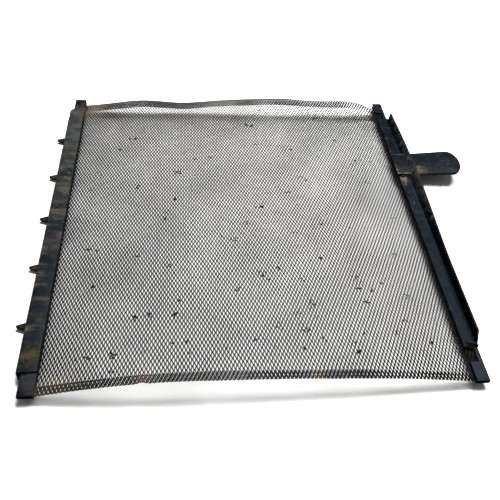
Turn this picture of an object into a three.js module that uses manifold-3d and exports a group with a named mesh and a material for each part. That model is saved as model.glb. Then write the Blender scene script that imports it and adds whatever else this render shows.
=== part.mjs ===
// A flat slide-in screen: a sheet of fine expanded steel mesh held between two folded edge channels.
// The left channel carries an angle rail with its flange turned down and a row of locating tongues.
// The right channel carries an angle rail with its flange standing up, a shallow angle underneath,
// and a round-ended pull tab that leaves through a slot in the upstanding flange. Use has bent that
// flange outwards where the pull tab is.
// Lengths are in millimetres. X runs from the tongues to the pull tab, Y along the rails, Z up.
// While it is built, X = 0 and X = panelWidth are the channels' outer faces, Y = 0 is their near end
// and Z = 0 is their top. At the end the group is moved so that its footprint is centred on the origin
// and its lowest point is at Z = 0.
import * as THREE from "three";
import { mergeVertices } from "three/addons/utils/BufferGeometryUtils.js";
import Module from "manifold-3d";

// Overall sizes
const panelWidth = 352; // over the outer faces of the two edge channels
const channelLength = 375;

// Mesh sheet and its hems
const meshSheet = 0.9;
const meshNearInset = 0; // near hem's fold, from the channels' near ends
const meshFarInset = 7; // far hem's fold, from the channels' far ends
const nearHemWidth = 10;
const farHemWidth = 15;
const hemStep = 0.5; // length over which a hem's second layer starts
const nearArch = [14.4, 1.7, 1.3]; // heights of the sine waves that the near edge bows up in
const farArch = [11.6, -2.9, 2.4, 0.3, 1.4, -1, 0.2, -0.9]; // the same for the far edge
const waveDecay = 0.5; // how much sooner each finer wave dies away from its edge

// Edge channels
const leftChannelWidth = 12;
const rightChannelWidth = 11;
const channelSheet = 1;
const channelFoldRadius = 1.6; // outside
const meshFit = 0.3; // between a hem and a channel's leaf
const meshSideGap = 0.5; // between the mesh's cut edge and the inside of a channel's fold
const notchWidth = 7; // cut from the mouth of the right channel's top leaf
const nearNotch = { start: 17, length: 13 };
const farNotch = { start: 18, length: 14 }; // from the far end

// Angle rails
const angleSheet = 1.5;
const angleInnerRadius = 0.5;
const cornerCut = 2.5; // clipped corner of the left rail's far end

const leftRail = {
  nearSetback: 19,
  farSetback: 21,
  overhang: 3.3, // of the flange's outer face beyond the channel
  flangeHeight: 11, // over the top leg's sheet
};

const rightRail = {
  nearSetback: 30,
  farSetback: 32,
  legWidth: 12,
  flangeHeight: 11, // over the leg's sheet
  leanPeak: 31, // degrees from square
  leanFromTab: 10, // from the pull tab's middle to the place that leans most, towards the near end
  leanReach: 143, // from there to where the flange is square again
  nearFlangeInset: 3, // from the leg's end to the flange's base
  nearFlangeCut: 6.5, // slope of the flange's near end
  farFlangeInset: 4.5,
  farFlangeCut: 1,
};

const lowerRail = { endInset: 4, legWidth: 11 }; // set in from the ends of the right rail

// Locating tongues
const tongueCount = 5;
const tonguePitch = 60;
const nearTongueShift = 2; // of the nearest tongue, which is bent towards the near end
const tongueReach = 9;
const tongueWidth = 7;
const tongueTipRadius = 1.1;
const tongueShoulder = { along: 0.55, across: 0.8 }; // shares of the reach and width that pull each side out
const tongueThickness = 2;
const tongueDepth = 5.5; // from the channels' tops down to the tongues' tops
const tongueSink = 1.5; // how far a tongue's blank runs back before it is trimmed to the flange

// Pull tab
const tabFarSetback = 117.5; // from the channels' far ends to the tab's middle
const tabInnerWidth = 32.5;
const tabOuterWidth = 36; // where the round end starts
const tabThickness = 3;
const tabInnerSetback = 14; // from the right channel's outer face to the tab's square end
const tabReach = 55.5; // from the same face to the tip of the round end
const tabRoundLength = 11; // length of the round end
const tabBendOffset = 5; // from the same face to the place where the tab starts to rise
const tabSlope = 1 / 16; // rise over run beyond that place
const slotClearance = 0.3;
const weldGap = 0.3; // kept where a piece is trimmed to the piece it is fixed on

// Fineness of the curved surfaces
const foldSteps = 5;
const railSteps = 24;
const meshStepsAcross = 40;
const meshStepsAlong = 16;
const foldArcSegments = 4;
const tongueCurveSegments = 6;
const tabCurveSegments = 20;

// Worked out from the sizes above
const channelGap = 2 * meshSheet + 2 * meshFit;
const channelDepth = channelGap + 2 * channelSheet;
const meshTop = -channelSheet - meshFit;
const meshStart = leftChannelWidth;
const meshEnd = panelWidth - rightChannelWidth;
const floorLevel = angleSheet - leftRail.flangeHeight;
const tabCentre = channelLength - tabFarSetback;

const wasm = await Module();
wasm.setup();

const paint = (color, roughness) =>
  new THREE.MeshStandardMaterial({ color, roughness, metalness: 0.4 });
const materials = {
  mesh: paint(0x2a2b2c, 0.6),
  channel: paint(0x23272e, 0.5),
  leftRail: paint(0x2c3034, 0.6),
  rightRail: paint(0x1b242c, 0.5),
  tongue: paint(0x4a4038, 0.75),
  tab: paint(0x22272f, 0.5),
};

// A closed body whose section in XZ changes along Y. sectionAt(y) gives the section's outline as
// THREE.Vector2(x, z), always with the same number of points, and stations are the places along Y.
function sweepAlongY(sectionAt, stations) {
  const rings = stations.map(sectionAt);
  if (THREE.ShapeUtils.isClockWise(rings[0])) {
    rings.forEach((ring) => ring.reverse());
  }
  const size = rings[0].length;
  const last = (rings.length - 1) * size;
  const positions = rings.flatMap((ring, i) => ring.flatMap((p) => [p.x, stations[i], p.y]));
  const indices = [];
  for (let i = 0; i + 1 < rings.length; i++) {
    for (let j = 0; j < size; j++) {
      const k = (j + 1) % size;
      const [a, b] = [i * size + j, i * size + k];
      indices.push(a, b + size, b, a, a + size, b + size);
    }
  }
  for (const [p, q, r] of THREE.ShapeUtils.triangulateShape(rings[0], [])) {
    indices.push(p, q, r);
  }
  for (const [p, q, r] of THREE.ShapeUtils.triangulateShape(rings[rings.length - 1], [])) {
    indices.push(last + p, last + r, last + q);
  }
  const geometry = new THREE.BufferGeometry();
  geometry.setAttribute("position", new THREE.Float32BufferAttribute(positions, 3));
  geometry.setIndex(indices);
  return geometry;
}

function solidOf(geometry) {
  const bare = geometry.clone();
  bare.deleteAttribute("normal");
  bare.deleteAttribute("uv");
  const merged = mergeVertices(bare);
  return new wasm.Manifold(
    new wasm.Mesh({
      numProp: 3,
      vertProperties: merged.getAttribute("position").array,
      triVerts: Uint32Array.from(merged.index.array),
    }),
  );
}

function geometryOf(solid) {
  const { vertProperties, triVerts } = solid.getMesh();
  const geometry = new THREE.BufferGeometry();
  geometry.setAttribute("position", new THREE.BufferAttribute(vertProperties, 3));
  geometry.setIndex(new THREE.BufferAttribute(triVerts, 1));
  return geometry;
}

// A geometry with the given geometries taken away from it.
const cut = (geometry, cutters) =>
  geometryOf(cutters.reduce((solid, cutter) => solid.subtract(solidOf(cutter)), solidOf(geometry)));

// What two geometries have in common.
const common = (first, second) => geometryOf(solidOf(first).intersect(solidOf(second)));

// A box between two corners.
function boxBetween(low, high) {
  const size = high.map((value, i) => value - low[i]);
  const middle = high.map((value, i) => (value + low[i]) / 2);
  return new THREE.BoxGeometry(...size).translate(...middle);
}

// A prism whose outline is given as [y, z] points, from x = low to x = high.
function prismAlongX(outline, low, high) {
  const shape = new THREE.Shape(outline.map(([y, z]) => new THREE.Vector2(y, z)));
  const geometry = new THREE.ExtrudeGeometry(shape, { depth: high - low, bevelEnabled: false });
  const turn = new THREE.Matrix4().makeBasis(
    new THREE.Vector3(0, 1, 0),
    new THREE.Vector3(0, 0, 1),
    new THREE.Vector3(1, 0, 0),
  );
  return geometry.applyMatrix4(turn).translate(low, 0, 0);
}

const samePlace = 1e-3; // closer than this, two points of an outline are one
const cutMargin = 1; // how far a cutter runs past what it cuts

const spaced = (start, end, steps) =>
  Array.from({ length: steps + 1 }, (_, i) => start + ((end - start) * i) / steps);

// The points of a shape's outline, each place once.
const outlineOf = (shape, divisions) =>
  shape
    .extractPoints(divisions)
    .shape.filter((p, i, all) => p.distanceTo(all.at(i - 1)) > samePlace);

// Edge channels

// The section of a folded edge channel: depth inward from its outer face, then height.
function channelSection(width) {
  const inner = channelFoldRadius - channelSheet;
  const shape = new THREE.Shape();
  shape.moveTo(width, 0);
  shape.lineTo(channelFoldRadius, 0);
  shape.absarc(channelFoldRadius, -channelFoldRadius, channelFoldRadius, Math.PI / 2, Math.PI);
  shape.lineTo(0, channelFoldRadius - channelDepth);
  shape.absarc(
    channelFoldRadius, channelFoldRadius - channelDepth, channelFoldRadius, Math.PI, 1.5 * Math.PI);
  shape.lineTo(width, -channelDepth);
  shape.lineTo(width, channelSheet - channelDepth);
  shape.lineTo(channelFoldRadius, channelSheet - channelDepth);
  shape.absarc(
    channelFoldRadius, channelFoldRadius - channelDepth, inner, 1.5 * Math.PI, Math.PI, true);
  shape.lineTo(channelSheet, -channelFoldRadius);
  shape.absarc(channelFoldRadius, -channelFoldRadius, inner, Math.PI, Math.PI / 2, true);
  shape.lineTo(width, -channelSheet);
  return outlineOf(shape, foldArcSegments);
}

function leftChannelGeometry() {
  const section = channelSection(leftChannelWidth);
  return sweepAlongY(() => [...section], [0, channelLength]);
}

function rightChannelGeometry() {
  const section = channelSection(rightChannelWidth);
  const mirrored = () => section.map((p) => new THREE.Vector2(panelWidth - p.x, p.y));
  const notchBetween = (near, far) =>
    boxBetween(
      [meshEnd - notchWidth, near, -channelSheet - meshFit / 2],
      [meshEnd + notchWidth, far, channelSheet],
    );
  return cut(sweepAlongY(mirrored, [0, channelLength]), [
    notchBetween(nearNotch.start, nearNotch.start + nearNotch.length),
    notchBetween(channelLength - farNotch.start - farNotch.length, channelLength - farNotch.start),
  ]);
}

// Mesh panel

const meshNearEdge = meshNearInset;
const meshFarEdge = channelLength - meshFarInset;

// How far the mesh stands above its clamped edges, from its sine waves across the width. The finer
// waves of an edge die away sooner towards the other edge.
function meshRise(x, y) {
  const across = THREE.MathUtils.clamp((x - meshStart) / (meshEnd - meshStart), 0, 1);
  const along = (y - meshNearEdge) / (meshFarEdge - meshNearEdge);
  const wave = (height, i, share) =>
    height * Math.sin((i + 1) * Math.PI * across) * share ** (1 + waveDecay * i);
  const near = nearArch.reduce((sum, height, i) => sum + wave(height, i, 1 - along), 0);
  return farArch.reduce((sum, height, i) => sum + wave(height, i, along), near);
}

function meshPanelGeometry() {
  const left = channelSheet + meshSideGap;
  const right = panelWidth - channelSheet - meshSideGap;
  const across = [left, ...spaced(meshStart, meshEnd, meshStepsAcross), right];
  const fieldStart = meshNearEdge + nearHemWidth;
  const fieldEnd = meshFarEdge - farHemWidth;
  const layersAt = (y) => {
    const near = THREE.MathUtils.clamp((fieldStart + hemStep - y) / hemStep, 0, 1);
    const far = THREE.MathUtils.clamp((y - fieldEnd + hemStep) / hemStep, 0, 1);
    return 1 + Math.max(near, far);
  };
  const sectionAt = (y) => {
    const top = across.map((x) => new THREE.Vector2(x, meshTop + meshRise(x, y)));
    const thickness = meshSheet * layersAt(y);
    const bottom = top.map((p) => new THREE.Vector2(p.x, p.y - thickness)).reverse();
    return [...top, ...bottom];
  };
  const field = spaced(fieldStart + hemStep, fieldEnd - hemStep, meshStepsAlong);
  return sweepAlongY(sectionAt, [meshNearEdge, fieldStart, ...field, fieldEnd, meshFarEdge]);
}

// Angle rails

// The right flange's lean from square, in radians: a smooth swell near the pull tab.
function rightLeanAt(y) {
  const share = Math.min(Math.abs(y - tabCentre + rightRail.leanFromTab) / rightRail.leanReach, 1);
  return THREE.MathUtils.degToRad(rightRail.leanPeak) * Math.cos((Math.PI / 2) * share) ** 2;
}

// The section of a bent angle: u runs from the leg's free edge out to the flange and w from the face
// the flange turns away from, so that w is 0 on the leg's back and the sheet on its inside. The sheet
// keeps its developed length as the flange leans out. skin adds to the back of the sheet.
function angleSection(outerFace, flangeHeight, lean, skin = 0) {
  const outerRadius = angleInnerRadius + angleSheet;
  const middleRadius = angleInnerRadius + angleSheet / 2;
  const foldStart = outerFace - outerRadius;
  const turn = Math.PI / 2 - lean;
  const straight = flangeHeight - outerRadius + middleRadius * lean;
  const at = (radius, angle, run) =>
    new THREE.Vector2(
      foldStart + radius * Math.sin(angle) + run * Math.cos(turn),
      outerRadius - radius * Math.cos(angle) + run * Math.sin(turn),
    );
  const angles = spaced(0, turn, foldSteps);
  return [
    new THREE.Vector2(0, -skin),
    ...angles.map((angle) => at(outerRadius + skin, angle, 0)),
    at(outerRadius + skin, turn, straight),
    at(angleInnerRadius, turn, straight),
    ...angles.reverse().map((angle) => at(angleInnerRadius, angle, 0)),
    new THREE.Vector2(0, angleSheet),
  ];
}

const leftRailNear = leftRail.nearSetback;
const leftRailFar = channelLength - leftRail.farSetback;
const leftLegWidth = leftChannelWidth + leftRail.overhang;
const rightRailNear = rightRail.nearSetback;
const rightRailFar = channelLength - rightRail.farSetback;

// The left rail's leg lies on the channel and its flange turns down, so its back is on top.
function leftRailBlank(skin) {
  const section = () =>
    angleSection(leftLegWidth, leftRail.flangeHeight, 0, skin).map(
      (p) => new THREE.Vector2(leftChannelWidth - p.x, angleSheet - p.y),
    );
  return sweepAlongY(section, [leftRailNear, leftRailFar]);
}

function leftRailGeometry() {
  const outer = -leftRail.overhang;
  const clip = new THREE.Shape([
    new THREE.Vector2(outer - cutMargin, leftRailFar - cornerCut - cutMargin),
    new THREE.Vector2(outer + cornerCut + cutMargin, leftRailFar + cutMargin),
    new THREE.Vector2(outer - cutMargin, leftRailFar + cutMargin),
  ]);
  const depth = leftRail.flangeHeight + 2 * cutMargin;
  const cutter = new THREE.ExtrudeGeometry(clip, { depth, bevelEnabled: false });
  return cut(leftRailBlank(0), [cutter.translate(0, 0, floorLevel - cutMargin)]);
}

// Wedges that take off the upstanding flange's two ends above the leg.
function flangeEndCuts() {
  const [low, high] = [angleSheet, rightRail.flangeHeight + cutMargin];
  const nearBase = rightRailNear + rightRail.nearFlangeInset;
  const farBase = rightRailFar - rightRail.farFlangeInset;
  const near = [
    [rightRailNear - cutMargin, low],
    [nearBase, low],
    [nearBase + rightRail.nearFlangeCut, high],
    [rightRailNear - cutMargin, high],
  ];
  const far = [
    [rightRailFar + cutMargin, low],
    [rightRailFar + cutMargin, high],
    [farBase + rightRail.farFlangeCut, high],
    [farBase, low],
  ];
  const [left, right] = [panelWidth - angleSheet - angleInnerRadius, panelWidth + high];
  return [prismAlongX(near, left, right), prismAlongX(far, left, right)];
}

// The slot that the pull tab leaves through, at the foot of the upstanding flange.
function tabSlot() {
  const half = tabWidthAt(panelWidth + tabBendOffset) / 2 + slotClearance;
  return boxBetween(
    [panelWidth - angleSheet - angleInnerRadius, tabCentre - half, angleSheet],
    [panelWidth + tabBendOffset, tabCentre + half, angleSheet + tabThickness + slotClearance],
  );
}

function rightRailGeometry() {
  const sectionAt = (y) =>
    angleSection(rightRail.legWidth, rightRail.flangeHeight, rightLeanAt(y)).map(
      (p) => new THREE.Vector2(panelWidth - rightRail.legWidth + p.x, p.y),
    );
  const blank = sweepAlongY(sectionAt, spaced(rightRailNear, rightRailFar, railSteps));
  return cut(blank, [...flangeEndCuts(), tabSlot()]);
}

// The lower rail's flange turns down to the level that the left rail's flange stands on.
function lowerRailGeometry() {
  const height = -channelDepth - floorLevel;
  const section = () =>
    angleSection(lowerRail.legWidth, height, 0).map(
      (p) => new THREE.Vector2(panelWidth - lowerRail.legWidth + p.x, -channelDepth - p.y),
    );
  return sweepAlongY(section, [rightRailNear + lowerRail.endInset, rightRailFar - lowerRail.endInset]);
}

// Locating tongues

// A pointed tongue, its outline running back past the flange's face, trimmed to that face.
function tongueGeometry(y, railSkin) {
  const face = -leftRail.overhang;
  const half = tongueWidth / 2;
  const tip = face - tongueReach;
  const shoulder = { x: face - tongueShoulder.along * tongueReach, half: tongueShoulder.across * half };
  const tipStart = tip + tongueTipRadius / 2;
  const shape = new THREE.Shape();
  shape.moveTo(face + tongueSink, y - half);
  shape.lineTo(face, y - half);
  shape.quadraticCurveTo(shoulder.x, y - shoulder.half, tipStart, y - tongueTipRadius);
  shape.quadraticCurveTo(tip - tongueTipRadius / 4, y, tipStart, y + tongueTipRadius);
  shape.quadraticCurveTo(shoulder.x, y + shoulder.half, face, y + half);
  shape.lineTo(face + tongueSink, y + half);
  const blank = new THREE.ExtrudeGeometry(shape, {
    depth: tongueThickness,
    bevelEnabled: false,
    curveSegments: tongueCurveSegments,
  });
  return cut(blank.translate(0, 0, -tongueDepth - tongueThickness), [railSkin]);
}

// Pull tab

const tabInner = panelWidth - tabInnerSetback;
const tabTip = panelWidth + tabReach;
const tabRoundStart = tabTip - tabRoundLength;

// The tab widens evenly from its square end to its round end.
function tabWidthAt(x) {
  return THREE.MathUtils.mapLinear(x, tabInner, tabRoundStart, tabInnerWidth, tabOuterWidth);
}

// The tab is what the strip seen from the side and the outline seen from above have in common.
function tabGeometry() {
  const outline = new THREE.Shape();
  outline.moveTo(tabInner, tabCentre - tabInnerWidth / 2);
  outline.lineTo(tabRoundStart, tabCentre - tabOuterWidth / 2);
  outline.absellipse(
    tabRoundStart, tabCentre, tabRoundLength, tabOuterWidth / 2, -Math.PI / 2, Math.PI / 2);
  outline.lineTo(tabInner, tabCentre + tabInnerWidth / 2);
  const bend = panelWidth + tabBendOffset;
  const rise = (tabTip + cutMargin - bend) * tabSlope;
  const strip = () => [
    new THREE.Vector2(tabInner - cutMargin, angleSheet),
    new THREE.Vector2(bend, angleSheet),
    new THREE.Vector2(tabTip + cutMargin, angleSheet + rise),
    new THREE.Vector2(tabTip + cutMargin, angleSheet + tabThickness + rise),
    new THREE.Vector2(bend, angleSheet + tabThickness),
    new THREE.Vector2(tabInner - cutMargin, angleSheet + tabThickness),
  ];
  const prism = new THREE.ExtrudeGeometry(outline, {
    depth: 2 * (tabThickness + rise),
    bevelEnabled: false,
    curveSegments: tabCurveSegments,
  });
  const sides = [tabCentre - tabOuterWidth, tabCentre + tabOuterWidth];
  return common(prism, sweepAlongY(strip, sides));
}

// Assembly

const group = new THREE.Group();

function addPiece(name, geometry, material) {
  const mesh = new THREE.Mesh(geometry, material);
  mesh.name = name;
  group.add(mesh);
}

addPiece("mesh_panel", meshPanelGeometry(), materials.mesh);
addPiece("left_edge_channel", leftChannelGeometry(), materials.channel);
addPiece("right_edge_channel", rightChannelGeometry(), materials.channel);
addPiece("left_angle_rail", leftRailGeometry(), materials.leftRail);
addPiece("right_flange_rail", rightRailGeometry(), materials.rightRail);
addPiece("right_lower_rail", lowerRailGeometry(), materials.rightRail);
const railSkin = leftRailBlank(weldGap);
for (let i = 0; i < tongueCount; i++) {
  const shift = i === 0 ? nearTongueShift : 0;
  const y = channelLength / 2 + (i - (tongueCount - 1) / 2) * tonguePitch - shift;
  addPiece(`locating_tongue_${i + 1}`, tongueGeometry(y, railSkin), materials.tongue);
}
addPiece("pull_tab", tabGeometry(), materials.tab);

// The origin is under the middle of the footprint, on the surface that the screen stands on.
const bounds = new THREE.Box3().setFromObject(group);
const middle = bounds.getCenter(new THREE.Vector3());
group.position.set(-middle.x, -middle.y, -bounds.min.z);

export default group;
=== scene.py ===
"""The looks of a slide-in mesh screen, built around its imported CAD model, in metres."""
import math
import random

import bmesh
import bpy
from mathutils import Euler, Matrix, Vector, noise
from mathutils.bvhtree import BVHTree


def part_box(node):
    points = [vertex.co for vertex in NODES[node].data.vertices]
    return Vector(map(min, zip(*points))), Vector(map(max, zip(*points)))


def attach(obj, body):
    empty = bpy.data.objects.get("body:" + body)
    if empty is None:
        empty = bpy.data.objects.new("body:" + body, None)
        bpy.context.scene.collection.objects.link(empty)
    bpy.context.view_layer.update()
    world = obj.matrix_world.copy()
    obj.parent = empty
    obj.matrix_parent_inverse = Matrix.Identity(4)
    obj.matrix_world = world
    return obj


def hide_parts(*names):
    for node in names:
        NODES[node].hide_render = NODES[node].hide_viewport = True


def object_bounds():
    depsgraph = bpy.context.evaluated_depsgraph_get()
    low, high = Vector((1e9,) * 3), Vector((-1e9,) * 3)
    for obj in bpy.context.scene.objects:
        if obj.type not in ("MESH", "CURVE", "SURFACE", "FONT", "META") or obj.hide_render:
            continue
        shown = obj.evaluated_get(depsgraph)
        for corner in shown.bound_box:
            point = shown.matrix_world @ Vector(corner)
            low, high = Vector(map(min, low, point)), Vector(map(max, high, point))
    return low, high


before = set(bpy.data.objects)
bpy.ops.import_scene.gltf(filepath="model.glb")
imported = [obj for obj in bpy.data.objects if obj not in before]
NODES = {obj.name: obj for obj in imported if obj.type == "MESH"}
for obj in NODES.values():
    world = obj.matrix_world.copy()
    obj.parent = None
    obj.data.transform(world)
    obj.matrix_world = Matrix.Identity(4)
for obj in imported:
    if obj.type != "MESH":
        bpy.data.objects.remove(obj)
noise.seed_set(1)  # vector noise would otherwise follow the clock
CAD_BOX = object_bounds()
MM = 0.001

# Expanded metal
SHORT_WAY = 3 * MM  # across the screen
LONG_WAY = 5.99 * MM  # along the rails
STRAND_WIDTH = 0.8 * MM
STRAND_SHEET = 0.36 * MM
STRAND_TILT = math.radians(-7)
RIGHT_THINNING = 0.1  # share by which the strands are thinner at the right than at the left
PATCH_SPREAD = 0.11  # share by which the strands' width changes in patches
PATCH_LENGTH = 38 * MM
SIDE_BUILD_UP = ((0.5, 1.5 * MM), (0.06, 9 * MM))  # extra width at a channel, and how far it reaches
FAR_BUILD_UP = (0.16, 8 * MM, 14 * MM)  # extra width before the far hem: its share, place and half width
WIDTH_SPREAD = 0.12  # share by which one bond differs from the next in width
TILT_SPREAD = 0.35  # and in tilt
BOND_LENGTH = 0.9 * MM
LAYER = 0.9 * MM  # room that one layer of the mesh takes
NEAR_HEM = 10 * MM
FAR_HEM = 15 * MM
EDGE_COVER = 3 * MM  # how far the mesh runs on into the left channel
NOTCH_COVER = 8.5 * MM  # the same on the right, where the notches show it
SAG = 0.35 * MM  # depth of the mesh's small dents
DENT_SIZES = (14 * MM, 33 * MM)
SWAY = 0.3 * MM  # sideways wander of its rows
SWAY_LENGTH = 18 * MM
MESH_BANDS = 3
FIRST_ROW = 0.74  # rows from the near hem's cut edge; it sets the hem's two layers out of step
DRIFT = 0.4 * MM  # slow wander of the rows along the rails, which varies that step
DRIFT_LENGTH = 55 * MM
SKEW = 0.0017  # slope of the rows to the near hem
HEM_SHIFT = -0.6 * MM  # how far a hem's lower layer is out of step sideways
NICK = (-109 * MM, 1.2 * MM, 3 * MM)  # a dent in the near hem: its X, depth and half width

# Dirt and damage
CLUMPS = 80
CRUMB_RISE = -0.4 * MM
THREADS = 24
THREAD_RISE = 0.1 * MM
THREAD_STEP = 0.6 * MM
THREAD_RADIUS = 0.16 * MM
FRAY = (-131 * MM, 12 * MM)  # loose strands: their X, and how far they are from the near edge

# Welds
WELD_STEP = 0.4 * MM
WELD_RIPPLE = 1.3 * MM
TAB_BEAD = 1.2 * MM  # radii of the beads
TACK_BEAD = 0.8 * MM
TONGUE_BEAD = 0.55 * MM
TACK_LENGTH = 5 * MM

# Sheet-metal edges
EDGE_RADIUS = 0.25 * MM
TAB_EDGE_RADIUS = 0.5 * MM
FLAT_ANGLE = math.radians(0.6)  # faces that turn less than this are joined
ROUNDED_ANGLE = math.radians(35)  # edges that turn more than this get a radius
SHARP_ANGLE = math.radians(38)  # edges that turn more than this aren't shaded smooth
STATION = 6 * MM  # spacing of the cross-sections that let a rail bend
WOBBLE = 0.16 * MM
WOBBLE_LENGTH = 45 * MM

TONGUES = 5
TAB_NARROWING = 1.75 * MM  # the tab is this much narrower on each side where it lies on the rail

# Colours
RUST = (0.09, 0.05, 0.03)
LIGHT_RUST = (0.085, 0.065, 0.048)
PINK_RUST = (0.19, 0.135, 0.1)
BARE = (0.26, 0.245, 0.19)
OLIVE_DUST = (0.056, 0.054, 0.041)
GREY_DUST = (0.066, 0.068, 0.063)
TAN_DUST = (0.1, 0.086, 0.064)
SCRAPED = (0.22, 0.22, 0.21)
# Lighter tint along edges: paint wear, and a painted highlight where edges catch the light
EDGE_WEAR_AND_HIGHLIGHT = (0.1, 0.105, 0.095)
EDGE_BAND_RADIUS = 0.45 * MM  # how far the lighter edge band of paint wear and painted highlight reaches in from an edge
SPOT_RIM = 1.3  # raggedness of a spot's rim, against the spot's size

# Camera and light
SENSOR = 36.0
LENS = 44.44
CAMERA_FROM_CORNER = Vector((120.68, -236.28, 396.17)) * MM
CAMERA_TURN = Euler((math.radians(43.69), math.radians(-3.88), math.radians(-4.56)))
LAMP_SIZE = (1.0, 0.45)
LAMP_POWER = 42
LAMP_PLACE = Vector((0.28, 0.44, 1.35))
SKY_TINT = (1, 1, 0.95, 1)
SKY_STRENGTH = 0.2
FLOOR_SIZE = 6
FLOOR_DROP = 0.02 * MM  # keeps the floor off the rails' undersides


# Node trees


class Paint:
    """A material's node tree, with a short call for each kind of node that it uses."""

    def __init__(self, name):
        self.material = bpy.data.materials.new(name)
        self.material.use_nodes = True
        self.tree = self.material.node_tree
        self.shader = self.tree.nodes["Principled BSDF"]
        self.place = self.tree.nodes.new("ShaderNodeTexCoord").outputs["Object"]

    def node(self, kind, **settings):
        made = self.tree.nodes.new("ShaderNode" + kind)
        for key, value in settings.items():
            setattr(made, key, value)
        return made

    def feed(self, socket, value):
        if isinstance(value, bpy.types.NodeSocket):
            self.tree.links.new(value, socket)
        else:
            socket.default_value = value

    def maths(self, operation, first, second=0.0, third=0.0):
        made = self.node("Math", operation=operation)
        for socket, value in zip(made.inputs, (first, second, third)):
            self.feed(socket, value)
        return made.outputs[0]

    def noise(self, size, stretch=(1, 1, 1), detail=4.0, shift=0.0):
        """Noise from 0 to 1 with features of about the given size, drawn out by stretch."""
        scaled = self.node("Mapping")
        self.feed(scaled.inputs["Vector"], self.place)
        scaled.inputs["Location"].default_value = (shift, shift, shift)
        scaled.inputs["Scale"].default_value = [1 / (size * s) for s in stretch]
        made = self.node("TexNoise")
        self.feed(made.inputs["Vector"], scaled.outputs[0])
        made.inputs["Scale"].default_value = 1
        made.inputs["Detail"].default_value = detail
        return made.outputs["Fac"]

    def between(self, value, low, high):
        """0 below low, 1 above high, and smooth in between."""
        made = self.node("MapRange", interpolation_type="SMOOTHSTEP")
        self.feed(made.inputs["Value"], value)
        made.inputs["From Min"].default_value = low
        made.inputs["From Max"].default_value = high
        return made.outputs["Result"]

    def spot(self, centre, size):
        """1 at a place and 0 beyond an ellipsoid of the given half sizes, with a ragged rim."""
        moved = self.node("VectorMath", operation="SUBTRACT")
        self.feed(moved.inputs[0], self.place)
        moved.inputs[1].default_value = centre
        scaled = self.node("VectorMath", operation="DIVIDE")
        self.feed(scaled.inputs[0], moved.outputs[0])
        scaled.inputs[1].default_value = size
        length = self.node("VectorMath", operation="LENGTH")
        self.feed(length.inputs[0], scaled.outputs[0])
        rim = self.noise(2.5 * MM, detail=5)
        rim = self.maths("MULTIPLY_ADD", rim, 2 * SPOT_RIM, -SPOT_RIM)
        reach = self.maths("ADD", length.outputs["Value"], rim)
        return self.maths("SUBTRACT", 1.0, self.between(reach, 0.3, 1.15))

    def edges(self, radius):
        """1 along edges, found from how a rounded normal departs from the true one."""
        rounded = self.node("Bevel", samples=4)
        rounded.inputs["Radius"].default_value = radius
        true = self.node("NewGeometry")
        dot = self.node("VectorMath", operation="DOT_PRODUCT")
        self.feed(dot.inputs[0], rounded.outputs["Normal"])
        self.feed(dot.inputs[1], true.outputs["Normal"])
        return self.maths("SUBTRACT", 1.0, self.between(dot.outputs["Value"], 0.8, 0.985))

    def mix(self, share, first, second):
        made = self.node("Mix", data_type="RGBA")
        self.feed(made.inputs["Factor"], share)
        for socket, colour in zip((made.inputs["A"], made.inputs["B"]), (first, second)):
            self.feed(socket, (*colour, 1) if isinstance(colour, tuple) else colour)
        return made.outputs["Result"]

    def bump(self, height, depth):
        made = self.node("Bump")
        made.inputs["Distance"].default_value = depth
        self.feed(made.inputs["Height"], height)
        self.feed(self.shader.inputs["Normal"], made.outputs["Normal"])

    def finish(self, colour, roughness, specular=0.08):
        self.feed(self.shader.inputs["Base Color"], colour)
        self.feed(self.shader.inputs["Roughness"], roughness)
        self.shader.inputs["Specular IOR Level"].default_value = specular
        return self.material


def corner(node, x, y, z):
    """A place in a CAD node's box, from shares of its width, depth and height."""
    low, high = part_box(node)
    return Vector(a + (b - a) * share for a, b, share in zip(low, high, (x, y, z)))


def painted_sheet(
        name, paint, faded, dust, dust_cover, spots=(), scrapes=(), edge=EDGE_WEAR_AND_HIGHLIGHT):
    """Old satin paint on sheet steel: faded in patches, dusty, scuffed, and tinted along its edges.

    dust_cover is how much of the surface the dust patches take, from 0 to 1. spots are lists of
    (centre, half sizes, colour, strength), and scrapes of (centre, half sizes, stretch of the
    lines, strength). edge is the tint along the edges; the default is lighter, for paint wear and a
    painted highlight where the edges catch the light.
    """
    p = Paint(name)
    grain = p.noise(0.5 * MM, detail=6)
    clouds = p.noise(5 * MM, stretch=(1, 1.5, 1), detail=6, shift=3.1)
    speckle = p.between(p.noise(0.9 * MM, detail=8, shift=6.3), 0.34, 0.62)
    speckle = p.maths("MULTIPLY_ADD", speckle, 0.5, 0.5)
    colour = p.mix(p.between(clouds, 0.35, 0.7), paint, faded)

    patches = p.noise(11 * MM, stretch=(2.2, 0.8, 1), detail=8)
    patches = p.maths("MULTIPLY_ADD", grain, 0.3, patches)
    cover = p.between(patches, 0.85 - 0.5 * dust_cover, 1.02 - 0.4 * dust_cover)
    browner = p.between(p.noise(6 * MM, stretch=(2, 0.8, 1), shift=1.9), 0.42, 0.6)
    colour = p.mix(p.maths("MULTIPLY", cover, speckle), colour, p.mix(browner, dust, TAN_DUST))
    rough = p.maths("MULTIPLY_ADD", clouds, 0.3, 0.32)
    rough = p.maths("MULTIPLY_ADD", cover, 0.3, rough)

    colour, rough = add_spots(p, spots, speckle, colour, rough)
    colour = add_scrapes(p, scrapes, colour)
    # Edge band: paint wear, and a painted highlight where the edges catch the light
    edge_wear_and_highlight = p.between(p.noise(4 * MM, detail=5, shift=5), 0.36, 0.6)
    edge_wear_and_highlight = p.maths("MULTIPLY", p.edges(EDGE_BAND_RADIUS), edge_wear_and_highlight)
    colour = p.mix(p.maths("MULTIPLY", edge_wear_and_highlight, 0.8), colour, edge)
    relief = p.maths("MULTIPLY_ADD", cover, 0.5, p.maths("ADD", grain, clouds))
    p.bump(relief, 0.12 * MM)
    return p.finish(colour, rough)


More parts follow.
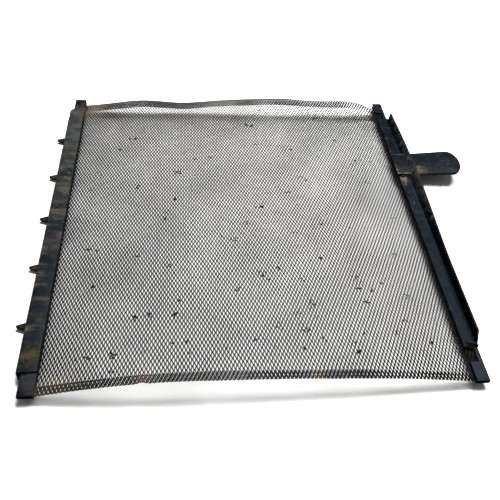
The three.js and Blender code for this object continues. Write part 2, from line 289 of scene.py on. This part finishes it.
def add_spots(p, spots, speckle, colour, rough):
    """The colour and roughness with blotchy, speckled spots of dust, rust or bare metal."""
    blotch = p.between(p.noise(7 * MM, stretch=(1.8, 0.7, 1), detail=5, shift=8.8), 0.42, 0.58)
    blotch = p.maths("MULTIPLY_ADD", blotch, 0.6, 0.4)
    for centre, size, tint, strength in spots:
        mask = p.maths("MULTIPLY", p.spot(centre, size), strength)
        mask = p.maths("MULTIPLY", p.maths("MULTIPLY", mask, speckle), blotch)
        colour = p.mix(mask, colour, tint)
        rough = p.maths("MULTIPLY_ADD", mask, 0.3, rough)
    return colour, rough


def add_scrapes(p, scrapes, colour):
    """The colour with patches of fine pale lines, drawn out along the given stretch."""
    for centre, size, stretch, strength in scrapes:
        lines = p.between(p.noise(0.5 * MM, stretch=stretch, detail=3, shift=7.7), 0.6, 0.72)
        mask = p.maths("MULTIPLY", p.maths("MULTIPLY", p.spot(centre, size), lines), strength)
        colour = p.mix(mask, colour, SCRAPED)
    return colour


def mesh_material():
    """Worn black paint on fine strands, with grey rubbed places, rust and dried mud."""
    p = Paint("mesh_black")
    grain = p.noise(0.35 * MM, detail=5)
    rubbed = p.noise(9 * MM, detail=6)
    fine = p.noise(1.6 * MM, detail=4, shift=2.2)
    colour = p.mix(p.between(rubbed, 0.42, 0.68), (0.005, 0.005, 0.006), (0.012, 0.012, 0.012))
    colour = p.mix(p.between(fine, 0.56, 0.72), colour, (0.03, 0.03, 0.03))
    muddy = p.between(p.noise(24 * MM, stretch=(1.6, 0.8, 1), detail=7, shift=4.4), 0.6, 0.7)
    speckled = p.maths("MULTIPLY", muddy, p.between(grain, 0.42, 0.58))
    colour = p.mix(p.maths("MULTIPLY", speckled, 0.6), colour, (0.04, 0.039, 0.034))
    near_left = corner("mesh_panel", 0.06, 0.01, 0.2)
    far_left = corner("mesh_panel", 0.05, 0.96, 0.3)
    hem_rust = corner("mesh_panel", 0.25, 0.013, 0.6)
    hem_mud = corner("mesh_panel", 0.62, 0.013, 0.7)
    for centre, size, tint, strength in (
        (near_left, (30 * MM, 14 * MM, 20 * MM), (0.07, 0.06, 0.04), 0.9),
        (far_left, (14 * MM, 18 * MM, 20 * MM), (0.12, 0.085, 0.055), 0.8),
        (hem_rust, (8 * MM, 8 * MM, 12 * MM), RUST, 0.8),
        (hem_mud, (7 * MM, 7 * MM, 12 * MM), RUST, 0.7),
    ):
        mask = p.maths("MULTIPLY", p.spot(centre, size), strength)
        colour = p.mix(p.maths("MULTIPLY", mask, p.between(grain, 0.3, 0.6)), colour, tint)
    p.bump(p.maths("ADD", grain, fine), 0.1 * MM)
    return p.finish(colour, p.maths("MULTIPLY_ADD", fine, 0.3, 0.36), 0.1)


def grime_material():
    """Dried mud and rust flakes caught in the mesh."""
    p = Paint("grime_mud")
    colour = p.mix(p.noise(3 * MM, detail=6), (0.009, 0.008, 0.006), (0.04, 0.035, 0.025))
    p.bump(p.noise(0.5 * MM, detail=6), 0.25 * MM)
    return p.finish(colour, 0.9)


def weld_material():
    """Painted-over weld metal with bare and rusty places."""
    p = Paint("weld_bead")
    bare = p.between(p.noise(3 * MM, detail=5), 0.5, 0.64)
    colour = p.mix(bare, (0.012, 0.014, 0.015), (0.16, 0.16, 0.14))
    colour = p.mix(p.between(p.noise(2 * MM, detail=6, shift=9.1), 0.58, 0.7), colour, RUST)
    p.bump(p.noise(0.4 * MM, detail=5), 0.15 * MM)
    return p.finish(colour, p.maths("MULTIPLY_ADD", bare, -0.2, 0.6))


# Pieces


def place_piece(piece, slot, *replaced):
    """Rides a finished piece on the screen's one body and hides the CAD parts that it replaces."""
    bpy.context.scene.collection.objects.link(piece)
    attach(piece, "root")
    if replaced:
        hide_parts(*replaced)
    return piece


def inside_cad_box(point):
    """The point, brought back to the CAD model's box where it stands out of it."""
    return Vector(min(max(v, a), b) for v, a, b in zip(point, *CAD_BOX))


def wobble(point):
    """A slow wander of hand-bent sheet metal, the same for all the pieces at one place."""
    wander = noise.noise_vector(point / WOBBLE_LENGTH)
    return point + WOBBLE * Vector((wander.x, 0, wander.z))


def add_stations(shape, low, high):
    """Cuts a long shape across at even steps, so that it can bend."""
    count = int((high.y - low.y) / STATION)
    for i in range(1, count):
        y = low.y + (high.y - low.y) * i / count
        geometry = shape.verts[:] + shape.edges[:] + shape.faces[:]
        bmesh.ops.bisect_plane(shape, geom=geometry, plane_co=(0, y, 0), plane_no=(0, 1, 0))


def dressed(node, slot, material, edge_radius=EDGE_RADIUS, stations=True):
    """A CAD node's shape with rounded edges and a slight wander along its length."""
    shape = bmesh.new()
    shape.from_mesh(NODES[node].data)
    bmesh.ops.remove_doubles(shape, verts=shape.verts, dist=0.001 * MM)
    bmesh.ops.dissolve_limit(
        shape, angle_limit=FLAT_ANGLE, verts=shape.verts, edges=shape.edges)
    if stations:
        add_stations(shape, *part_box(node))
    shape.normal_update()
    sharp = [
        e for e in shape.edges
        if len(e.link_faces) == 2 and e.calc_face_angle() > ROUNDED_ANGLE]
    bmesh.ops.bevel(
        shape, geom=sharp, offset=edge_radius, segments=2, profile=0.5, affect="EDGES",
        clamp_overlap=True)
    for vertex in shape.verts:
        vertex.co = inside_cad_box(wobble(vertex.co))
    mesh = bpy.data.meshes.new(node + "_dressed")
    shape.to_mesh(mesh)
    shape.free()
    mesh.materials.clear()
    mesh.materials.append(material)
    mesh.shade_smooth()
    mesh.set_sharp_from_angle(angle=SHARP_ANGLE)
    piece = bpy.data.objects.new(node + "_painted", mesh)
    return place_piece(piece, slot, node)


class Lattice:
    """The expanded metal: bonds in staggered rows, joined by slanting strands.

    It is laid out flat, with u across the screen and s along the sheet from the near hem's cut
    edge, over the fold, across the field and over the far fold to the far hem's cut edge.
    """

    def __init__(self):
        low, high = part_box("mesh_panel")
        left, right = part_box("left_edge_channel")[1].x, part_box("right_edge_channel")[0].x
        self.left, self.right = left, right
        self.near, self.far = low.y, high.y
        self.radius = LAYER / 2
        self.fold = math.pi * self.radius
        self.field = self.far - self.near - 2 * self.radius
        self.length = NEAR_HEM + FAR_HEM - 2 * self.radius + 2 * self.fold + self.field
        self.columns = int((right - left + EDGE_COVER + NOTCH_COVER) / (SHORT_WAY / 2))
        self.rows = int(self.length / (LONG_WAY / 2))
        self.first_u = left - EDGE_COVER
        self.surface = BVHTree.FromPolygons(
            [v.co for v in NODES["mesh_panel"].data.vertices],
            [p.vertices for p in NODES["mesh_panel"].data.polygons])
        self.sky = high.z + 10 * MM

    def top_at(self, x, y):
        """Height of the CAD panel's top, with small dents."""
        inset = 0.01 * MM  # a ray down the very rim can miss the panel
        y = min(max(y, self.near + inset), self.far - inset)
        hit = self.surface.ray_cast(Vector((x, y, self.sky)), Vector((0, 0, -1)))[0]
        dent = sum(noise.noise(Vector((x, y, k)) / size) for k, size in enumerate(DENT_SIZES))
        return hit.z - SAG * (0.5 + 0.5 * dent)

    def on_top(self, place, rise):
        """The place, brought to a height over the mesh's top."""
        return Vector((place.x, place.y, self.top_at(place.x, place.y) + rise))

    def path(self, s):
        """Y, depth under the panel's top and the sheet's turn at a length along the sheet."""
        r = self.radius
        near_flat = NEAR_HEM - r
        if s < near_flat:
            return self.near + NEAR_HEM - s, 3 * r, math.pi
        s -= near_flat
        if s < self.fold:
            a = math.pi - s / r
            return self.near + r - r * math.sin(a), 2 * r - r * math.cos(a), a
        s -= self.fold
        if s < self.field:
            return self.near + r + s, r, 0.0
        s -= self.field
        if s < self.fold:
            a = s / r
            return self.far - r + r * math.sin(a), 2 * r - r * math.cos(a), -a
        return self.far - r - (s - self.fold), 3 * r, -math.pi

    def place(self, u, s, n):
        """The point in the scene of a place on the flat sheet, n off its middle."""
        y, depth, turn = self.path(s)
        y -= n * math.sin(turn)
        z = self.top_at(u, y) - depth + n * math.cos(turn)
        centre, deep, wide = NICK
        hem_share = max(0.0, 1 - (y - self.near) / NEAR_HEM)
        y += deep * hem_share * math.exp(-((u - centre) / wide) ** 2)
        return u, y, z

    def strand_widening(self, u, s):
        """Share by which the strands are wider than usual, which darkens the mesh.

        It changes in patches and from left to right, and grows beside the channels and near the
        far hem.
        """
        patches = PATCH_SPREAD * noise.noise(Vector((u, s, 0.07)) / PATCH_LENGTH)
        patches -= RIGHT_THINNING * (u - self.left) / (self.right - self.left)
        from_side = max(0.0, min(u - self.left, self.right - u))
        beside = sum(share * math.exp(-from_side / reach) for share, reach in SIDE_BUILD_UP)
        share, before_hem, half_width = FAR_BUILD_UP
        from_far_hem = (self.length - 2 * FAR_HEM - before_hem - s) / half_width
        return patches + beside + share * math.exp(-from_far_hem ** 2)

    def corners(self, i, j):
        """A bond's 12 corners: near and far end, left to right, under and upper side."""
        u = self.first_u + i * SHORT_WAY / 2
        s = (j + FIRST_ROW) * LONG_WAY / 2 + SKEW * (u - (self.left + self.right) / 2)
        s += DRIFT * noise.noise(Vector((u / DRIFT_LENGTH, 0.4, 0.8)))
        sway = noise.noise_vector(Vector((u, s, 5)) / SWAY_LENGTH) * SWAY
        jitter = noise.noise_vector(Vector((i * 7.13, j * 3.71, 2.5)))
        tilt = STRAND_TILT * (1 + TILT_SPREAD * jitter.z)
        width = STRAND_WIDTH * (1 + WIDTH_SPREAD * jitter.x + self.strand_widening(u, s))
        u += sway.x + HEM_SHIFT * abs(self.path(s)[2]) / math.pi
        s = min(max(s + sway.y, BOND_LENGTH), self.length - BOND_LENGTH)
        half_sheet = STRAND_SHEET / 2
        for along in (-0.5, 0.5):
            for across in (-1, 0, 1):
                for side in (-1, 1):
                    du = across * width * math.cos(tilt) - side * half_sheet * math.sin(tilt)
                    n = across * width * math.sin(tilt) + side * half_sheet * math.cos(tilt)
                    yield self.place(u + du, s + along * BOND_LENGTH, n)

    def band(self, first_row, last_row):
        """Points and faces of the rows from first_row up to, but without, last_row."""
        number = {}
        points = []
        for j in range(first_row, min(last_row + 1, self.rows)):
            for i in range(j % 2, self.columns, 2):
                number[i, j] = len(points) // 12
                points.extend(self.corners(i, j))
        faces = []

        def at(bond, row, column, side):
            return 12 * bond + 6 * row + 2 * column + side

        def end(bond, row, column):
            """Left-under, right-under, right-upper and left-upper corners of one half of a bond."""
            return (at(bond, row, column, 0), at(bond, row, column + 1, 0),
                    at(bond, row, column + 1, 1), at(bond, row, column, 1))

        for (i, j), bond in number.items():
            if j == last_row:  # the next band's first row, which only lends its ends to the strands
                faces.extend(end(bond, 0, column) for column in (0, 1))
                continue
            for column in (0, 1):
                a, b = end(bond, 0, column), end(bond, 1, column)
                faces.append((a[3], a[2], b[2], b[3]))
                faces.append((a[0], b[0], b[1], a[1]))
                if (i + 2 * column - 1, j - 1) not in number:
                    faces.append(a)
                other = number.get((i + 2 * column - 1, j + 1))
                if other is None:
                    faces.append(b[::-1])
                    continue
                c = end(other, 0, 1 - column)
                faces.extend((b[k], b[(k + 1) % 4], c[(k + 1) % 4], c[k])[::-1] for k in range(4))
            faces.append((at(bond, 0, 0, 0), at(bond, 0, 0, 1), at(bond, 1, 0, 1), at(bond, 1, 0, 0)))
            faces.append((at(bond, 0, 2, 0), at(bond, 1, 2, 0), at(bond, 1, 2, 1), at(bond, 0, 2, 1)))
        return points, faces

    def build(self, material):
        """The lattice in bands along the rails, as one piece would hold too many faces."""
        for k in range(MESH_BANDS):
            rows = [round(self.rows * share / MESH_BANDS) for share in (k, k + 1)]
            points, faces = self.band(*rows)
            mesh = bpy.data.meshes.new(f"expanded_mesh_{k + 1}")
            mesh.from_pydata([inside_cad_box(p) for p in points], [], faces)
            mesh.materials.append(material)
            piece = bpy.data.objects.new(f"expanded_mesh_{k + 1}", mesh)
            place_piece(piece, "mesh_black", "mesh_panel")


class Lumps:
    """Small closed bodies of rod-like shape, gathered into one piece."""

    def __init__(self, roughness, sides=8):
        self.points, self.faces = [], []
        self.roughness, self.sides = roughness, sides

    def rod(self, centres, radii, flatten=1.0):
        """A rod along the centres, with a radius at each and a point at both ends."""
        first = len(self.points)
        self.points.append(centres[0])
        for before, centre, after, radius in zip(centres, centres[1:], centres[2:], radii[1:]):
            along = (after - before).normalized()
            side = along.cross(Vector((0, 0, 1))).normalized()
            rise = along.cross(side)
            for k in range(self.sides):
                angle = math.tau * k / self.sides
                offset = radius * (math.cos(angle) * side + math.sin(angle) * rise)
                offset *= 1 + self.roughness * noise.noise((centre + 3 * offset) / radius)
                offset.z *= flatten
                self.points.append(centre + offset)
        rings = len(centres) - 2
        self.points.append(centres[-1])
        last = len(self.points) - 1
        for k in range(self.sides):
            after = (k + 1) % self.sides
            a, b = first + 1 + k, first + 1 + after
            self.faces.append((first, b, a))
            for ring in range(rings - 1):
                step = ring * self.sides
                self.faces.append((a + step, b + step, b + step + self.sides, a + step + self.sides))
            step = (rings - 1) * self.sides
            self.faces.append((last, a + step, b + step))

    def bead(self, start, end, radius):
        """A weld bead: round at both ends, and rippled as the metal was laid."""
        run = end - start
        count = max(6, round(run.length / WELD_STEP))
        centres, radii = [], []
        for k in range(count + 1):
            share = k / count
            place = start + run * share
            from_end = min(share, 1 - share) * run.length / radius
            swell = math.sqrt(1 - (1 - min(from_end, 1)) ** 2)
            ripple = 1 + 0.13 * abs(math.sin(math.pi * share * run.length / WELD_RIPPLE))
            wander = noise.noise_vector(place / (3 * MM)) * 0.25 * MM
            centres.append(place + wander)
            radii.append(radius * swell * ripple * (1 + 0.2 * wander.x / MM))
        self.rod(centres, radii, flatten=0.8)

    def piece(self, name, slot, material):
        mesh = bpy.data.meshes.new(name)
        mesh.from_pydata([inside_cad_box(p) for p in self.points], [], self.faces)
        mesh.materials.append(material)
        mesh.shade_smooth()
        return place_piece(bpy.data.objects.new(name, mesh), slot)


def somewhere(chance):
    """A place over the mesh, away from its edges and more often at the near end."""
    low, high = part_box("mesh_panel")
    margin = 24 * MM
    x = chance.uniform(low.x + margin, high.x - margin)
    share = chance.random() ** 1.7
    return Vector((x, low.y + margin + share * (high.y - low.y - 2 * margin), 0))


def make_crumbs(lattice, material, chance):
    """Clumps of dried mud caught in the mesh."""
    crumbs = Lumps(roughness=0.6)
    shares = [k / 3 - 1 for k in range(7)]
    for _ in range(CLUMPS):
        middle = somewhere(chance)
        spread = chance.uniform(0.6, 2.2) * MM
        for _ in range(chance.randint(2, 9)):
            place = middle + Vector((chance.gauss(0, spread), chance.gauss(0, spread), 0))
            radius = chance.uniform(0.3, 0.85) * MM
            turn = chance.uniform(0, math.tau)
            reach = Vector((math.cos(turn), math.sin(turn), 0)) * radius * chance.uniform(1, 1.9)
            centres = [lattice.on_top(place + reach * share, CRUMB_RISE) for share in shares]
            radii = [radius * math.sqrt(1 - share ** 2) for share in shares]
            crumbs.rod(centres, radii, flatten=0.6)
    crumbs.piece("mesh_crumbs", "tongue_dusty", material)


def make_threads(lattice, material, chance):
    """A few curled threads lying on the mesh."""
    threads = Lumps(roughness=0.2, sides=6)
    for _ in range(THREADS):
        place = somewhere(chance)
        heading, curl = chance.uniform(0, math.tau), chance.uniform(-0.32, 0.32)
        centres = []
        for _ in range(chance.randint(10, 22)):
            centres.append(lattice.on_top(place, THREAD_RISE))
            place = place + Vector((math.cos(heading), math.sin(heading), 0)) * THREAD_STEP
            heading += curl + chance.gauss(0, 0.12)
        threads.rod(centres, [THREAD_RADIUS] * len(centres))
    threads.piece("mesh_threads", "mesh_black", material)


def make_fray(lattice, material):
    """A few torn strands that stand up at the near hem's cut edge."""
    chance = random.Random(5)
    x, from_edge = FRAY
    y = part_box("mesh_panel")[0].y + from_edge
    torn = Lumps(roughness=0.15, sides=6)
    for _ in range(6):
        start = Vector((x + chance.gauss(0, 1.6) * MM, y + chance.gauss(0, 1) * MM, 0))
        start.z = lattice.top_at(start.x, start.y) - 0.6 * MM
        lean = Vector((chance.uniform(-1, 1), chance.uniform(-0.2, 1), chance.uniform(0.5, 1)))
        centres = [start + (lean * k * 0.5 - Vector((0, 0, 0.03 * k * k))) * MM for k in range(8)]
        torn.rod(centres, [0.34 * MM - 0.02 * MM * k for k in range(8)])
    torn.piece("hem_fray", "mesh_black", material)


def make_tab_welds(material):
    """Beads along the two edges of the tab, over the width of the rail's leg."""
    low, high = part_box("pull_tab")
    leg_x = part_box("right_flange_rail")[0].x
    first_x, last_x = leg_x + 1.5 * MM, leg_x + 10.5 * MM
    z = low.z + 0.1 * MM
    beads = Lumps(roughness=0.25, sides=10)
    for y in (low.y + TAB_NARROWING - 0.4 * MM, high.y - TAB_NARROWING + 0.4 * MM):
        beads.bead(Vector((first_x, y, z)), Vector((last_x, y, z)), TAB_BEAD)
    beads.piece("tab_welds", "right_rail_navy", material)


def make_rail_tacks(material):
    """A tack across each end of the two rails, on top of their channels."""
    beads = Lumps(roughness=0.25, sides=10)
    for rail, channel in (
        ("left_angle_rail", "left_edge_channel"),
        ("right_flange_rail", "right_edge_channel"),
    ):
        rail_low, rail_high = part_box(rail)
        low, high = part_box(channel)
        for y in (rail_low.y - 0.2 * MM, rail_high.y + 0.2 * MM):
            start = Vector((low.x + 2.5 * MM, y, high.z + 0.1 * MM))
            beads.bead(start, start + Vector((TACK_LENGTH, 0, 0)), TACK_BEAD)
    beads.piece("rail_tacks", "left_rail_dusty", material)


def make_tongue_welds(material):
    """A small bead along the root of each tongue."""
    beads = Lumps(roughness=0.25, sides=10)
    for number in range(1, TONGUES + 1):
        low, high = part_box(f"locating_tongue_{number}")
        start = Vector((high.x + 0.1 * MM, low.y + 0.3 * MM, high.z - 0.1 * MM))
        end = Vector((start.x, high.y - 0.3 * MM, start.z))
        beads.bead(start, end, TONGUE_BEAD)
    beads.piece("tongue_welds", "tongue_dusty", material)


# Stage


def make_stage():
    bpy.ops.mesh.primitive_plane_add(size=FLOOR_SIZE)
    floor = bpy.context.object
    floor.name = "floor"
    p = Paint("pale_floor")
    colour = p.mix(p.noise(60 * MM, detail=3), (0.86, 0.86, 0.85), (0.9, 0.9, 0.89))
    floor.data.materials.append(p.finish(colour, 0.6, 0.3))
    floor.location.z = -FLOOR_DROP

    world = bpy.data.worlds.new("studio")
    world.use_nodes = True
    sky = world.node_tree.nodes["Background"].inputs
    sky["Color"].default_value = SKY_TINT
    sky["Strength"].default_value = SKY_STRENGTH
    bpy.context.scene.world = world

    lamp = bpy.data.lights.new("overhead", "AREA")
    lamp.shape = "RECTANGLE"
    lamp.size, lamp.size_y = LAMP_SIZE
    lamp.energy = LAMP_POWER
    light = bpy.data.objects.new("overhead", lamp)
    light.location = LAMP_PLACE
    light.rotation_euler = (-light.location).to_track_quat("-Z", "Y").to_euler()
    bpy.context.scene.collection.objects.link(light)
    bpy.context.scene.view_settings.view_transform = "Standard"
    bpy.context.scene.view_settings.look = "High Contrast"


def make_camera():
    low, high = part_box("left_edge_channel")
    camera = bpy.data.objects.new("camera", bpy.data.cameras.new("camera"))
    camera.data.sensor_width = SENSOR
    camera.data.lens = LENS
    camera.data.clip_start = 0.01
    camera.location = Vector((low.x, low.y, high.z)) + CAMERA_FROM_CORNER
    camera.rotation_euler = CAMERA_TURN
    bpy.context.scene.collection.objects.link(camera)
    bpy.context.scene.camera = camera


def left_rail_paint():
    """Blue-black under olive and grey dust that thickens to the far end, with rust at both ends."""
    rail = "left_angle_rail"
    return painted_sheet(
        "left_rail_dusty", (0.006, 0.010, 0.016), (0.015, 0.019, 0.021), OLIVE_DUST, 0.45,
        spots=[
            (corner(rail, 0.6, 0.92, 1), (60 * MM, 100 * MM, 20 * MM), GREY_DUST, 0.9),
            (corner(rail, 0.6, 0.6, 1), (12 * MM, 30 * MM, 12 * MM), TAN_DUST, 0.55),
            (corner(rail, 0.6, 0.8, 1), (12 * MM, 22 * MM, 12 * MM), OLIVE_DUST, 0.7),
            (corner(rail, 0.6, 0.5, 1), (12 * MM, 8 * MM, 12 * MM), TAN_DUST, 0.6),
            (corner(rail, 0.6, 0.39, 1), (40 * MM, 14 * MM, 20 * MM), (0.06, 0.05, 0.05), 0.8),
            (corner(rail, 0.75, 0.985, 1), (14 * MM, 9 * MM, 8 * MM), LIGHT_RUST, 0.8),
            (corner(rail, 0.5, 0.04, 1), (8 * MM, 11 * MM, 8 * MM), (0.07, 0.052, 0.026), 0.8),
        ])


def channel_paint():
    """Black with grey scuffs, lighter at both near ends, at the right one as a painted highlight, and rusty
    at the left one's far end.
    """
    left, right = "left_edge_channel", "right_edge_channel"
    return painted_sheet(
        "channel_black", (0.007, 0.0085, 0.0135), (0.02, 0.022, 0.03), GREY_DUST, 0.25,
        spots=[
            (corner(left, 0.7, 0.95, 1), (12 * MM, 10 * MM, 8 * MM), LIGHT_RUST, 0.7),
            (corner(left, 0.8, 0.03, 1), (9 * MM, 15 * MM, 6 * MM), (0.04, 0.042, 0.044), 0.8),
            # Painted highlight: the right channel's near end, lighter where it catches the light
            (corner(right, 0.4, 0.02, 1), (11 * MM, 11 * MM, 5 * MM), (0.032, 0.04, 0.055), 0.9),
        ])


def right_rail_paint():
    """Deep navy, with a rusty patch and line beside the tab, brown dust, long pale scrapes, and a painted
    highlight along the near part of the flange's top edge.
    """
    rail = "right_flange_rail"
    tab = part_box("pull_tab")[0]
    top = corner(rail, 0, 0, 0.14).z
    return painted_sheet(
        "right_rail_navy", (0.002, 0.006, 0.011), (0.008, 0.015, 0.022), (0.036, 0.031, 0.024), 0.2,
        spots=[
            (Vector((tab.x + 6 * MM, tab.y - 5 * MM, top)), (4.5 * MM, 8 * MM, 3 * MM), PINK_RUST, 0.95),
            (Vector((tab.x + 2.2 * MM, tab.y + 10 * MM, top)), (1.6 * MM, 38 * MM, 3 * MM), LIGHT_RUST, 0.9),
            (corner(rail, 0.95, 0.62, 0.8), (9 * MM, 80 * MM, 12 * MM), (0.07, 0.058, 0.042), 0.5),
            (corner(rail, 0.9, 0.95, 0.9), (9 * MM, 70 * MM, 9 * MM), (0.06, 0.058, 0.042), 0.55),
            # Painted highlight along the near part of the flange's top edge
            (corner(rail, 1, 0.2, 0.9), (5 * MM, 110 * MM, 9 * MM), (0.07, 0.064, 0.054), 0.8),
        ],
        scrapes=[
            (corner(rail, 0.3, 0.52, 0.1), (8 * MM, 26 * MM, 4 * MM), (0.5, 14, 1), 0.55),
        ])


def tab_paint():
    """Slate black, dusty where the tab leaves the flange and bare along its inner corner."""
    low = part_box("pull_tab")[0]
    top = corner("pull_tab", 0, 0, 0.5).z
    near_edge = low.y + TAB_NARROWING
    return painted_sheet(
        "tab_black", (0.006, 0.009, 0.0125), (0.012, 0.017, 0.021), GREY_DUST, 0.12,
        spots=[
            (Vector((low.x + 25 * MM, low.y + 7 * MM, top)), (10 * MM, 9 * MM, 4 * MM),
             (0.12, 0.1, 0.066), 0.75),
            (Vector((low.x + 7 * MM, near_edge, top)), (10 * MM, 1.3 * MM, 5 * MM), BARE, 0.8),
            (Vector((low.x, near_edge + 7 * MM, top)), (1.3 * MM, 10 * MM, 5 * MM), BARE, 0.8),
            (Vector((low.x + 7 * MM, low.y + 34 * MM, top)), (10 * MM, 1.2 * MM, 5 * MM), BARE, 0.5),
        ],
        scrapes=[
            (corner("pull_tab", 0.8, 0.5, 0.9), (18 * MM, 18 * MM, 4 * MM), (8, 0.6, 1), 0.5),
        ])


def tongue_paint():
    """Nearly black round the rim, with brown dust in the middle of each tongue."""
    return painted_sheet(
        "tongue_dusty", (0.007, 0.007, 0.007), (0.018, 0.016, 0.014), (0.045, 0.037, 0.026), 0.3,
        spots=[
            (corner(f"locating_tongue_{number}", 0.55, 0.5, 1), (4.5 * MM, 2.6 * MM, 1.5 * MM),
             (0.085, 0.07, 0.05), 0.7)
            for number in range(1, TONGUES + 1)
        ],
        edge=(0.006, 0.006, 0.006))


make_camera()
make_stage()
lattice = Lattice()
mesh_paint = mesh_material()
lattice.build(mesh_paint)

channel = channel_paint()
right_rail = right_rail_paint()
tongue = tongue_paint()
dressed("left_edge_channel", "channel_black", channel)
dressed("right_edge_channel", "channel_black", channel)
dressed("left_angle_rail", "left_rail_dusty", left_rail_paint())
dressed("right_flange_rail", "right_rail_navy", right_rail)
dressed("right_lower_rail", "right_rail_navy", right_rail)
dressed("pull_tab", "tab_black", tab_paint(), TAB_EDGE_RADIUS, stations=False)
for number in range(1, TONGUES + 1):
    dressed(f"locating_tongue_{number}", "tongue_dusty", tongue, stations=False)

weld = weld_material()
make_tab_welds(weld)
make_rail_tacks(weld)
make_tongue_welds(weld)
grime = grime_material()
litter_chance = random.Random(11)
make_crumbs(lattice, grime, litter_chance)
make_threads(lattice, grime, litter_chance)
make_fray(lattice, mesh_paint)
